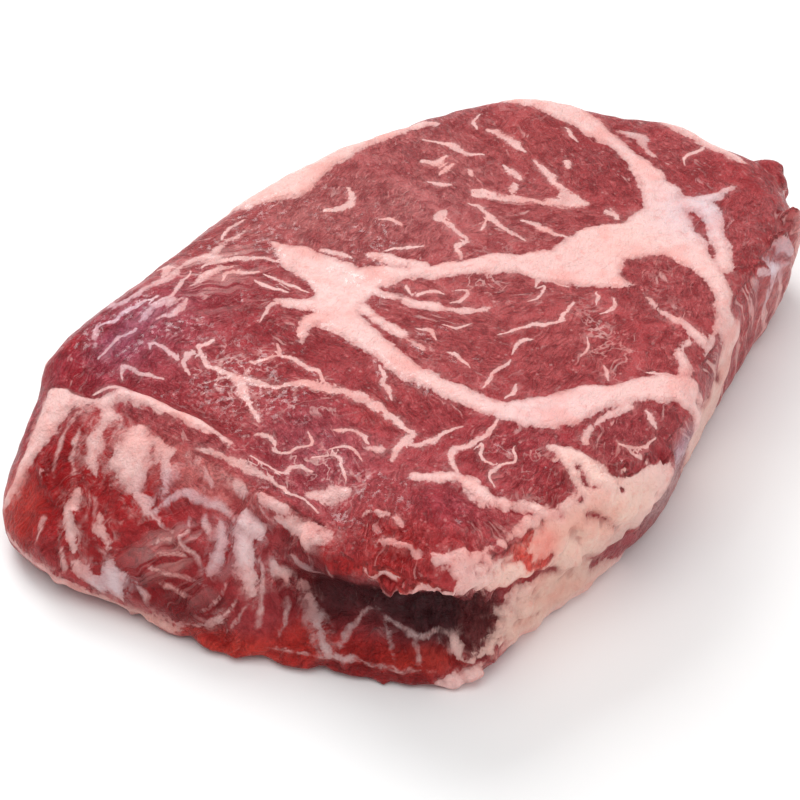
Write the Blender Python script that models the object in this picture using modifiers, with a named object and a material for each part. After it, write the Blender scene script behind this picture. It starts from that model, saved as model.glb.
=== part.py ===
"""A thick raw beef steak, cut across the rib end of the chuck, lying flat.

One solid. The long axis runs along X, the thickness along Z, and the underside lies at Z = 0.
The -X end is the rolled lip muscle, whose outer face slopes down to the board.
"""
import math

import bmesh
import bpy
from mathutils import Vector

MM = 0.001

# Driving dimensions of the whole steak.
LENGTH = 196 * MM
WIDTH = 130 * MM
THICKNESS = 36 * MM

# The block that the steak is shaped from, and the size of its facets.
BLOCK_HEIGHT = 34 * MM
OUTLINE_STEPS = 8
FACET = 3.5 * MM
WELD = 0.00005
SMOOTHING = 0.5
SMOOTHING_ROUNDS = 2
SETTLE_HEIGHT = 0.6 * MM

# The widest outline of the cut, in millimetres, from the +X end and counterclockwise.
OUTLINE = [
    (98, -17), (98, -2), (93, 13), (85, 28), (71, 43), (50, 53), (28, 59), (4, 62), (-20, 61),
    (-42, 59), (-62, 58), (-80, 55), (-93, 48), (-97, 33), (-95, 12), (-91, -8), (-81, -32),
    (-69, -54), (-60, -60), (-42, -62), (-14, -66), (0, -65), (17, -60), (42, -53), (63, -48),
    (80, -44), (91, -38), (98, -29),
]

# Rounding where the cut faces meet the side wall. The rim's round is flattened to a share of
# a quarter circle, and it bends only the upper part of the wall.
TOP_ROUND = 5 * MM
TOP_ROUND_RISE = 0.55
TOP_ROUND_FROM = 0.55
BASE_ROUND = 2 * MM
LIP_BASE_ROUND = 5 * MM

# The sloping shoulder at the near end of the +X side, and where it sets in.
SHOULDER_ROUND = 15 * MM
SHOULDER_X = (56 * MM, 84 * MM)
SHOULDER_Y = (6 * MM, -22 * MM)

# How far in from the wall the wall's own shaping reaches.
WALL_REACH = 9 * MM

# The lip muscle at the -X end: how far its top leans in, less so towards the front, how far it
# drops, and the crease behind its ridge.
LIP_START = -58 * MM
LIP_END = -94 * MM
LIP_LEAN = 19 * MM
LIP_LEAN_FRONT = 6 * MM
LIP_FRONT_Y = (-8 * MM, -46 * MM)
LIP_CURVE = 1.7
LIP_DROP = 4.5 * MM
CREASE = [(-64, 38), (-61, 22), (-62, 6), (-65, -12), (-68, -24)]
CREASE_DEPTH = 3 * MM
CREASE_WIDTH = 4.2 * MM

# The hollow under the ragged rim at the front corner.
HOLLOW_FROM = (-83, -27)
HOLLOW_TO = (-67, -54)
HOLLOW_DEPTH = 10 * MM
HOLLOW_INWARD = Vector((0.80, 0.60))
HOLLOW_LOW = 6 * MM
HOLLOW_HIGH = 28 * MM
HOLLOW_REACH = 11 * MM

# Dips and swells of the upper cut face: centre in millimetres, radius and height.
SWELLS = [
    ((-76, 26), 13, 2.6),
    ((-78, 4), 13, 2.4),
    ((-45, 46), 17, 2.2),
    ((-58, 30), 13, -2.4),
    ((-48, -2), 14, 1.6),
    ((-58, -38), 11, 1.4),
    ((-30, -44), 14, 1.2),
    ((-8, 24), 12, -1.4),
    ((-3, -22), 17, 0.9),
    ((30, 30), 30, 1.4),
    ((28, -20), 11, -1.8),
    ((54, -24), 13, -1.0),
    ((64, 8), 13, 1.2),
    ((84, 8), 13, -1.6),
    ((78, 33), 14, 2.0),
    ((94, -24), 12, 1.2),
]

# Swells of the side wall: place on the outline in millimetres, reach and how far it stands out.
WALL_SWELLS = [
    ((84, -34), 17, 3.2, 0.50),
    ((97, -4), 15, 2.0, 0.62),
    ((-4, -65), 22, 1.8, 0.78),
    ((-36, -60), 15, 2.0, 0.90),
    ((-94, 28), 20, 2.0, 0.30),
    ((20, 61), 34, 1.6, 0.45),
    ((-56, 58), 18, 2.4, 0.55),
]
WALL_SWELL_SPREAD = 0.28

# How far the rim is set back from the floor line round the front corner.
SETBACK_CENTRE = (-50, -64)
SETBACK_REACH = 24 * MM
SETBACK = (1.5 * MM, 6 * MM)
SETBACK_CURVE = 1.5

# How far the near wall draws in under its rim, and where along the steak.
UNDERCUT = 3.5 * MM
UNDERCUT_MIDDLE = -6 * MM
UNDERCUT_REACH = 52 * MM
UNDERCUT_Y = (-30 * MM, -62 * MM)
UNDERCUT_CURVE = 1.3

BEEF_RED = (0.42, 0.055, 0.06, 1.0)


def ease(low, high, value):
    """Rise smoothly from 0 at low to 1 at high; low may be the greater."""
    step = min(1.0, max(0.0, (value - low) / (high - low)))
    return step * step * (3.0 - 2.0 * step)


def bell(distance, reach):
    """Fall smoothly from 1 at distance 0 towards 0 at a few times the reach."""
    return math.exp(-(distance / reach) ** 2)


def distance_to_segment(point, start, end):
    """Return a flat distance in metres to a segment whose ends are in millimetres."""
    first = Vector(start) * MM
    along = Vector(end) * MM - first
    share = min(1.0, max(0.0, (point - first).dot(along) / along.length_squared))
    return (point - first - share * along).length


def distance_to_line(point, corners):
    """Return a flat distance in metres to a line of joined segments."""
    pairs = zip(corners[:-1], corners[1:])
    return min(distance_to_segment(point, start, end) for start, end in pairs)


def add_block(collection):
    """Extrude the outline into a block with upright walls, in facets of an even size."""
    curve = bpy.data.curves.new("outline", "CURVE")
    curve.dimensions = "2D"
    curve.fill_mode = "BOTH"
    curve.extrude = BLOCK_HEIGHT / 2
    curve.resolution_u = OUTLINE_STEPS
    spline = curve.splines.new("BEZIER")
    spline.bezier_points.add(len(OUTLINE) - 1)
    for knot, (x, y) in zip(spline.bezier_points, OUTLINE):
        knot.co = (x * MM, y * MM, 0.0)
        knot.handle_left_type = "AUTO"
        knot.handle_right_type = "AUTO"
    spline.use_cyclic_u = True

    outline = bpy.data.objects.new("outline", curve)
    outline.location.z = BLOCK_HEIGHT / 2
    collection.objects.link(outline)
    mesh = evaluated_mesh(outline)
    mesh.transform(outline.matrix_world)
    bpy.data.objects.remove(outline)
    weld(mesh)

    block = bpy.data.objects.new("beef_steak", mesh)
    collection.objects.link(block)
    remesh = block.modifiers.new("even facets", "REMESH")
    remesh.mode = "VOXEL"
    remesh.voxel_size = FACET
    block.data = evaluated_mesh(block)
    block.modifiers.clear()
    return block


def evaluated_mesh(thing):
    """Return a new mesh of the object as its modifiers leave it."""
    bpy.context.view_layer.update()
    graph = bpy.context.evaluated_depsgraph_get()
    return bpy.data.meshes.new_from_object(thing.evaluated_get(graph))


def weld(mesh):
    """Close the loose caps that a filled curve leaves."""
    shape = bmesh.new()
    shape.from_mesh(mesh)
    bmesh.ops.remove_doubles(shape, verts=shape.verts, dist=WELD)
    bmesh.ops.recalc_face_normals(shape, faces=shape.faces)
    shape.to_mesh(mesh)
    shape.free()


def nearest_rim(point, rim):
    """Return how far a flat point lies inside the rim, and which way is outward there."""
    best = None
    for start, end in zip(rim, rim[1:] + rim[:1]):
        along = end - start
        share = min(1.0, max(0.0, (point - start).dot(along) / along.length_squared))
        away = (start + share * along - point).length
        if best is None or away < best[0]:
            best = (away, Vector((along.y, -along.x)).normalized())
    return best


def rim_of(spline_points):
    """Return the smooth outline as a ring of flat points, in metres."""
    ring = []
    count = len(spline_points)
    for index in range(count):
        p0, p1, p2, p3 = (Vector(spline_points[(index + k) % count]) * MM for k in (-1, 0, 1, 2))
        for step in range(OUTLINE_STEPS):
            t = step / OUTLINE_STEPS
            ring.append(
                0.5 * (2 * p1 + (p2 - p0) * t + (2 * p0 - 5 * p1 + 4 * p2 - p3) * t ** 2
                       + (3 * p1 - p0 - 3 * p2 + p3) * t ** 3)
            )
    return ring


def top_height(flat):
    """Return the height of the upper cut face above the board."""
    height = BLOCK_HEIGHT
    for centre, reach, rise in SWELLS:
        height += rise * MM * bell((flat - Vector(centre) * MM).length, reach * MM)
    height -= CREASE_DEPTH * bell(distance_to_line(flat, CREASE), CREASE_WIDTH)
    height -= LIP_DROP * ease(LIP_START, LIP_END, flat.x)
    return height


def lean(flat, share):
    """Return how far the lip muscle's outer face leans in at a share of the height."""
    front = ease(*LIP_FRONT_Y, flat.y)
    amount = LIP_LEAN + (LIP_LEAN_FRONT - LIP_LEAN) * front
    return amount * ease(LIP_START, LIP_END, flat.x) * share ** LIP_CURVE


def setback(flat, share):
    """Return how far the rim round the front corner is set back, as a flat vector."""
    near = bell((flat - Vector(SETBACK_CENTRE) * MM).length, SETBACK_REACH)
    return Vector(SETBACK) * near * share ** SETBACK_CURVE


def undercut(flat, share):
    """Return how far the near wall draws in below its rim."""
    near = ease(*UNDERCUT_Y, flat.y) * bell(flat.x - UNDERCUT_MIDDLE, UNDERCUT_REACH)
    return UNDERCUT * near * (1 - share) ** UNDERCUT_CURVE


def hollow(flat, height):
    """Return how deep the front hollow is at this height of the wall."""
    middle = (HOLLOW_LOW + HOLLOW_HIGH) / 2
    half = (HOLLOW_HIGH - HOLLOW_LOW) / 2
    band = max(0.0, 1 - ((height - middle) / half) ** 2)
    away = distance_to_segment(flat, HOLLOW_FROM, HOLLOW_TO)
    return HOLLOW_DEPTH * band * bell(away, HOLLOW_REACH)


def wall_swell(flat, share):
    """Return how far the side wall stands out here."""
    total = 0.0
    for centre, reach, rise, level in WALL_SWELLS:
        spread = bell(share - level, WALL_SWELL_SPREAD)
        total += rise * MM * spread * bell((flat - Vector(centre) * MM).length, reach * MM)
    return total


def rim_drop(flat, inside, share):
    """Return how far the rounding of the upper rim lowers a point."""
    shoulder = ease(*SHOULDER_X, flat.x) * ease(*SHOULDER_Y, flat.y)
    reach = TOP_ROUND + (SHOULDER_ROUND - TOP_ROUND) * shoulder
    near_rim = max(0.0, 1 - inside / reach)
    sag = 1 - math.sqrt(1 - near_rim ** 2)
    return reach * TOP_ROUND_RISE * sag * ease(TOP_ROUND_FROM, 1.0, share)


def foot_inset(flat, height):
    """Return how far the wall's foot is drawn in where it rounds off to the underside."""
    reach = BASE_ROUND + (LIP_BASE_ROUND - BASE_ROUND) * ease(LIP_START, LIP_END, flat.x)
    return reach * (1 - ease(0.0, reach, height))


def shape_point(place, rim):
    """Move one point of the block to its place on the steak."""
    flat = place.xy
    share = min(1.0, max(0.0, place.z / BLOCK_HEIGHT))
    inside, direction = nearest_rim(flat, rim)
    height = share * top_height(flat) - rim_drop(flat, inside, share)

    wall = bell(inside, WALL_REACH)
    shift = wall_swell(flat, share) - foot_inset(flat, place.z)
    flat = flat + (direction * shift + HOLLOW_INWARD * hollow(flat, place.z)) * wall
    flat.x += lean(place.xy, share)
    flat.y += undercut(place.xy, share)
    flat += setback(place.xy, share)
    return Vector((flat.x, flat.y, height))


def settle(mesh):
    """Smooth the skin, lay the underside flat and give it as few faces as it needs."""
    shape = bmesh.new()
    shape.from_mesh(mesh)
    for _ in range(SMOOTHING_ROUNDS):
        bmesh.ops.smooth_vert(
            shape, verts=shape.verts, factor=SMOOTHING, use_axis_x=True, use_axis_y=True, use_axis_z=True
        )
    for point in shape.verts:
        if point.co.z < SETTLE_HEIGHT:
            point.co.z = 0.0
    under = [face for face in shape.faces if all(point.co.z == 0.0 for point in face.verts)]
    edges = {edge for face in under for edge in face.edges}
    inner = [edge for edge in edges if all(face in under for face in edge.link_faces)]
    bmesh.ops.dissolve_edges(shape, edges=inner, use_verts=True)
    bmesh.ops.triangulate(shape, faces=shape.faces)
    bmesh.ops.recalc_face_normals(shape, faces=shape.faces)
    shape.to_mesh(mesh)
    shape.free()


def fit_to_size(mesh):
    """Stretch the shape to the driving dimensions, with its box standing on the origin."""
    places = [point.co for point in mesh.vertices]
    low = Vector(min(place[axis] for place in places) for axis in range(3))
    high = Vector(max(place[axis] for place in places) for axis in range(3))
    size = Vector((LENGTH, WIDTH, THICKNESS))
    for place in places:
        for axis in range(3):
            share = (place[axis] - low[axis]) / (high[axis] - low[axis])
            place[axis] = size[axis] * (share if axis == 2 else share - 0.5)


def beef_material():
    """Wet raw beef in its average colour."""
    material = bpy.data.materials.new("raw beef")
    material.use_nodes = True
    shader = material.node_tree.nodes["Principled BSDF"]
    shader.inputs["Base Color"].default_value = BEEF_RED
    shader.inputs["Roughness"].default_value = 0.38
    shader.inputs["Metallic"].default_value = 0.0
    material.diffuse_color = BEEF_RED
    return material


for thing in list(bpy.data.objects):
    bpy.data.objects.remove(thing)

parts = bpy.data.collections.new("beef steak")
bpy.context.scene.collection.children.link(parts)

steak = add_block(parts)
ring = rim_of(OUTLINE)
for vertex in steak.data.vertices:
    vertex.co = shape_point(vertex.co.copy(), ring)
settle(steak.data)
fit_to_size(steak.data)
steak.data.materials.append(beef_material())
steak.data.shade_smooth()
print("steak triangles:", len(steak.data.polygons))
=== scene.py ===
import math
import random

import bpy
import numpy as np
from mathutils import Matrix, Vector, noise


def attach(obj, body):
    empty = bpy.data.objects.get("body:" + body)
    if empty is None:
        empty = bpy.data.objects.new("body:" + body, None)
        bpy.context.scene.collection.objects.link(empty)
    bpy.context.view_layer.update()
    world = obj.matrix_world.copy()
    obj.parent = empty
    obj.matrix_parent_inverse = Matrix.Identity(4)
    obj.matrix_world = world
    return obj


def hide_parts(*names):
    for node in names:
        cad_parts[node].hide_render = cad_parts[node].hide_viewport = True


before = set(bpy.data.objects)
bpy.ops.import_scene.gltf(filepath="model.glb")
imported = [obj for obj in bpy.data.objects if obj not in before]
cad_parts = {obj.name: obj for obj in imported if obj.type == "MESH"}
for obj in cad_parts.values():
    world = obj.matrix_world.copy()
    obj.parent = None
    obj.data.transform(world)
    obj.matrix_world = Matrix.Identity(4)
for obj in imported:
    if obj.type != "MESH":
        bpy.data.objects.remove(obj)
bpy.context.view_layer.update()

MM = 0.001


# The body of the steak: one thick slice across several muscles, cut with a knife on both faces.
# Its mass is the solid of the frame, to which the torn rim, the fat flap and the loose ends are
# added as lumps and grown together into one skin, as they are one piece of meat.
SKIN_FACET = 0.85 * MM
WELD = 0.01 * MM
LUMP_ROUNDNESS = 3  # subdivisions of the ball that each lump is made from
LUMP_SINK = 0.3  # how deep a wall lump lies, as a share of its longer half-length
LUMP_SHOW = 0.8  # how much of a wall lump's outward length stands out
FRAY_SINK = 0.35  # how deep a fray lies, as a share of its outward length
FRAY_TILT = 0.5  # the most that a fray leans, in radians
SHRED_LIFT = 0.3  # how far a shred stands off, as a share of its thickness
SHRED_SWAY = 0.35  # the most that a shred hangs to one side, as a slope
TOP_SINK = 0.3  # how deep a lump on the upper face lies, as a share of its rise
OUTSIDE = 200  # mm, a distance beyond any point of the steak

bpy.ops.object.select_all(action="DESELECT")
body = bpy.data.objects.new("steak_body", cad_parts["beef_steak"].data.copy())
bpy.context.scene.collection.objects.link(body)
body.select_set(True)
bpy.context.view_layer.objects.active = body
bpy.ops.object.mode_set(mode="EDIT")
bpy.ops.mesh.select_all(action="SELECT")
bpy.ops.mesh.remove_doubles(threshold=WELD)
bpy.ops.object.mode_set(mode="OBJECT")
body.data.materials.clear()

UP = Vector((0, 0, 1))


def wall_place(bearing, height):
    """Return the place on the side wall at a bearing in degrees and a height in mm, and the way out."""
    turn = math.radians(bearing)
    out = Vector((math.cos(turn), math.sin(turn), 0))
    start = (out * OUTSIDE + UP * height) * MM
    _, place, normal, _ = body.ray_cast(start, -out)
    return place, out


# Torn and folded bits of the side wall: bearing, height, half-lengths along, up and outward, in
# mm, and a tilt in degrees.
WALL_LUMPS = [
    # the rolled edge of the lip muscle
    (190, 28, 8, 4, 1.8, -8), (198, 28, 4, 3, 2.2, 0),
    # the ragged rim over the hollow
    (201, 28.5, 3, 2.4, 2.6, 15), (204, 30, 3, 2.0, 2.6, 0), (207.5, 30, 3, 2.0, 2.4, -10),
    (211, 30, 3, 2.0, 2.4, 8), (214.5, 29.5, 3, 1.9, 2.6, 0), (217.5, 28.5, 2.6, 2.2, 2.6, 20),
    (220.5, 26.5, 2.6, 3.6, 2.4, 0), (223, 24.5, 2.2, 3.8, 2.6, 12), (226, 25.5, 2.2, 3.4, 2.6, -8),
    (229, 23.5, 2.4, 3.6, 3.4, 0), (232, 23.5, 2.4, 3.2, 3.4, 10), (234.5, 24.5, 1.6, 3.8, 2.6, -10),
    (224, 29.5, 3, 2.4, 2.2, 0), (230, 29.5, 3, 2.6, 2.4, 0),
    # the lumpy fat flap on the near side
    (238, 29, 4, 4, 1.8, 0), (241, 23, 2.6, 5, 1.4, 8), (244.5, 29, 3, 5, 2.0, -6),
    (248, 24, 3, 5, 1.8, 0), (251.5, 29, 4, 3.4, 1.6, 0), (254.5, 23, 3, 5, 1.6, 10),
    (257, 28, 3, 4, 1.4, 0), (247, 17, 5, 3, 1.2, -10), (240, 18, 5, 2.4, 1.0, 0),
    # the ragged foot of the hollow and the loose tag of fat at the corner
    (176, 2.6, 9, 2.6, 2.2, -4), (184, 2.4, 6, 2.2, 4.2, -6), (188, 2.0, 4, 1.6, 4.6, 8),
    (195, 2.0, 8, 1.7, 3.4, 2), (204, 1.8, 8, 1.6, 2.6, -2), (208.5, 0.7, 1.5, 0.8, 5.0, 0),
    (212, 1.7, 6, 1.6, 2.2, 0),
    (218.2, 1.4, 2.6, 1.3, 3.2, 12), (220.5, 2.6, 2.4, 1.4, 3.0, 30),
    # bulging strips of muscle at the +X end
    (323, 20, 2.4, 13, 1.2, 12), (329, 20, 2.0, 13, 1.2, 10), (334, 20, 2.0, 12, 1.2, 6),
    (343, 27, 5, 4, 2.6, 0), (346, 24, 4, 5, 1.6, 0),
    # the hidden far side: swells of its fat cap
    (30, 18, 12, 9, 1.4, 0), (52, 20, 12, 8, 1.6, 6), (75, 16, 12, 9, 1.6, -4),
    (98, 20, 10, 8, 1.6, 0), (118, 17, 9, 9, 1.4, 0), (8, 17, 8, 9, 1.6, 0),
]

# Lumps on the upper face: x, y, half-lengths along, across and up in mm, and a turn in degrees.
TOP_LUMPS = [
    (-28, -50, 3.2, 2.6, 1.2, 80), (-29, -55, 3.6, 4.2, 1.5, 70), (-27.5, -60, 3.4, 3.4, 1.3, 20),
    (-33, -61, 3.6, 3.2, 1.3, 40), (-39, -59, 4, 3, 1.2, 0), (-45, -58, 3.4, 2.4, 1.4, 20),
    (-51, -57, 3.2, 2.2, 1.5, -10), (-57, -55, 3.2, 2.4, 1.6, 20), (-62, -53.5, 3, 2.2, 1.4, 40),
    (-67, -50, 2.6, 2.2, 1.3, 60), (-70, -43, 2.4, 3.2, 1.3, 0), (-71.5, -35, 2.4, 3.6, 1.2, 10),
    (-60, -38, 5, 3, 0.8, 50), (-63, -30, 4, 3, 0.8, 40),
    (93.5, -26, 5, 3.4, 3.0, -40), (95.5, -29, 3, 2.2, 2.4, -50),
]


# Small frayed lumps scattered over a stretch of wall: how many, bearings, heights, half-length
# and how far they stand out.
FRAYS = [
    (26, (198, 220), (27.6, 31.5), (1.0, 2.0), (1.6, 2.8)),
    (46, (218, 236), (21.5, 31.5), (1.1, 2.3), (1.6, 3.2)),
    (60, (233, 262), (15, 33), (1.4, 3.2), (0.8, 1.7)),
    (24, (172, 218), (1.2, 4.0), (1.0, 2.6), (1.4, 2.8)),
    (16, (150, 200), (5, 30), (1.6, 3.4), (0.5, 0.9)),
]


# Hanging shreds along the torn rim: bearings, heights, half-length, half-width, half-thickness,
# and how steeply they droop, in degrees.
SHREDS = [
    (10, (198, 218), (28.0, 30.5), (2.6, 4.2), (1.3, 2.2), (0.9, 1.3), (15, 45)),
    (12, (217, 235), (24.0, 27.0), (3.4, 5.0), (1.5, 2.4), (1.1, 1.7), (62, 80)),
    (12, (218, 236), (27.5, 31.0), (2.4, 3.6), (1.5, 2.6), (1.1, 1.6), (35, 70)),
    (16, (236, 262), (18.0, 31.0), (3.0, 6.0), (1.2, 2.2), (0.9, 1.4), (78, 88)),
]

# The same on the upper face: how many, x, y and reach of the patch, half-length and rise.
TOP_FRAYS = [
    (14, (-71, -38), 3.5, (1.0, 2.2), (1.2, 2.4)),
    (16, (-67, -49), 3.5, (1.0, 2.4), (1.2, 2.6)),
    (18, (-61, -55), 3.5, (1.0, 2.4), (1.2, 2.6)),
    (18, (-53, -59), 3.5, (1.0, 2.6), (1.2, 2.8)),
    (18, (-45, -60), 3.5, (1.2, 2.8), (1.0, 2.4)),
    (20, (-36, -61), 5.0, (1.4, 3.2), (0.9, 2.0)),
    (12, (-29, -54), 4.0, (1.2, 2.8), (0.9, 1.8)),
    (10, (-74, -28), 5.0, (1.2, 2.4), (0.8, 1.6)),
]


def add_lump(place, axes, halves):
    """Add an egg-shaped lump with three half-lengths in mm along three axes."""
    bpy.ops.mesh.primitive_ico_sphere_add(subdivisions=LUMP_ROUNDNESS, radius=1.0)
    lump = bpy.context.active_object
    for point in lump.data.vertices:
        point.co = place + sum((axes[k] * (point.co[k] * halves[k] * MM) for k in range(3)), Vector())
    return lump


def wall_axes(out, tilt):
    """Return the ways along the wall, up it and out of it, with the first two tilted (radians)."""
    level = UP.cross(out)
    along = level * math.cos(tilt) + UP * math.sin(tilt)
    up = UP * math.cos(tilt) - level * math.sin(tilt)
    return along, up, out


def turned(angle):
    """Return the level way at an angle in radians."""
    return Vector((math.cos(angle), math.sin(angle), 0))


lumps = []
for bearing, height, along, up, outward, tilt in WALL_LUMPS:
    place, out = wall_place(bearing, height)
    sink = LUMP_SINK * max(along, up)
    axes = wall_axes(out, math.radians(tilt))
    lumps.append(add_lump(place - out * sink * MM, axes, (along, up, LUMP_SHOW * outward + sink)))
random.seed(21)
for count, bearings, heights, lengths, depths in FRAYS:
    for _ in range(count):
        place, out = wall_place(random.uniform(*bearings), random.uniform(*heights))
        axes = wall_axes(out, random.uniform(-FRAY_TILT, FRAY_TILT))
        half = random.uniform(*lengths)
        halves = (half * random.uniform(0.6, 1.0), half, random.uniform(*depths))
        lumps.append(add_lump(place - out * FRAY_SINK * halves[2] * MM, axes, halves))
for count, bearings, heights, lengths, widths, thicks, droops in SHREDS:
    for step in range(count):
        share = (step + random.uniform(0.2, 0.8)) / count
        bearing = bearings[0] + (bearings[1] - bearings[0]) * share
        place, out = wall_place(bearing, random.uniform(*heights))
        droop = math.radians(random.uniform(*droops))
        sway = random.uniform(-SHRED_SWAY, SHRED_SWAY)
        level = UP.cross(out)
        down = (out * math.cos(droop) - UP * math.sin(droop) + level * sway).normalized()
        flat = (level - down * level.dot(down)).normalized()
        halves = (random.uniform(*lengths), random.uniform(*widths), random.uniform(*thicks))
        place = place + out * SHRED_LIFT * halves[2] * MM
        lumps.append(add_lump(place, (down, flat, down.cross(flat)), halves))
for count, (x, y), reach, lengths, rises in TOP_FRAYS:
    for _ in range(count):
        spot = Vector((random.gauss(x, reach / 2), random.gauss(y, reach / 2), OUTSIDE)) * MM
        hit, place, normal, _ = body.ray_cast(spot, -UP)
        way = turned(random.uniform(0, math.pi))
        half = random.uniform(*lengths)
        halves = (half, half * random.uniform(0.45, 0.9), random.uniform(*rises))
        if hit:
            place = place - normal * TOP_SINK * halves[2] * MM
            lumps.append(add_lump(place, (way, UP.cross(way), UP), halves))
for x, y, along, across, up, turn in TOP_LUMPS:
    _, place, _, _ = body.ray_cast(Vector((x, y, OUTSIDE)) * MM, -UP)
    place = place - UP * TOP_SINK * up * MM
    way = turned(math.radians(turn))
    lumps.append(add_lump(place, (way, UP.cross(way), UP), (along, across, up)))

bpy.ops.object.select_all(action="DESELECT")
for lump in lumps:
    lump.select_set(True)
body.select_set(True)
bpy.context.view_layer.objects.active = body
bpy.ops.object.join()
grow = body.modifiers.new("grow together", "REMESH")
grow.mode = "VOXEL"
grow.voxel_size = SKIN_FACET
bpy.ops.object.modifier_apply(modifier=grow.name)
soften = body.modifiers.new("soften", "SMOOTH")
soften.factor = 0.5
soften.iterations = 2
bpy.ops.object.modifier_apply(modifier=soften.name)


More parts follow.
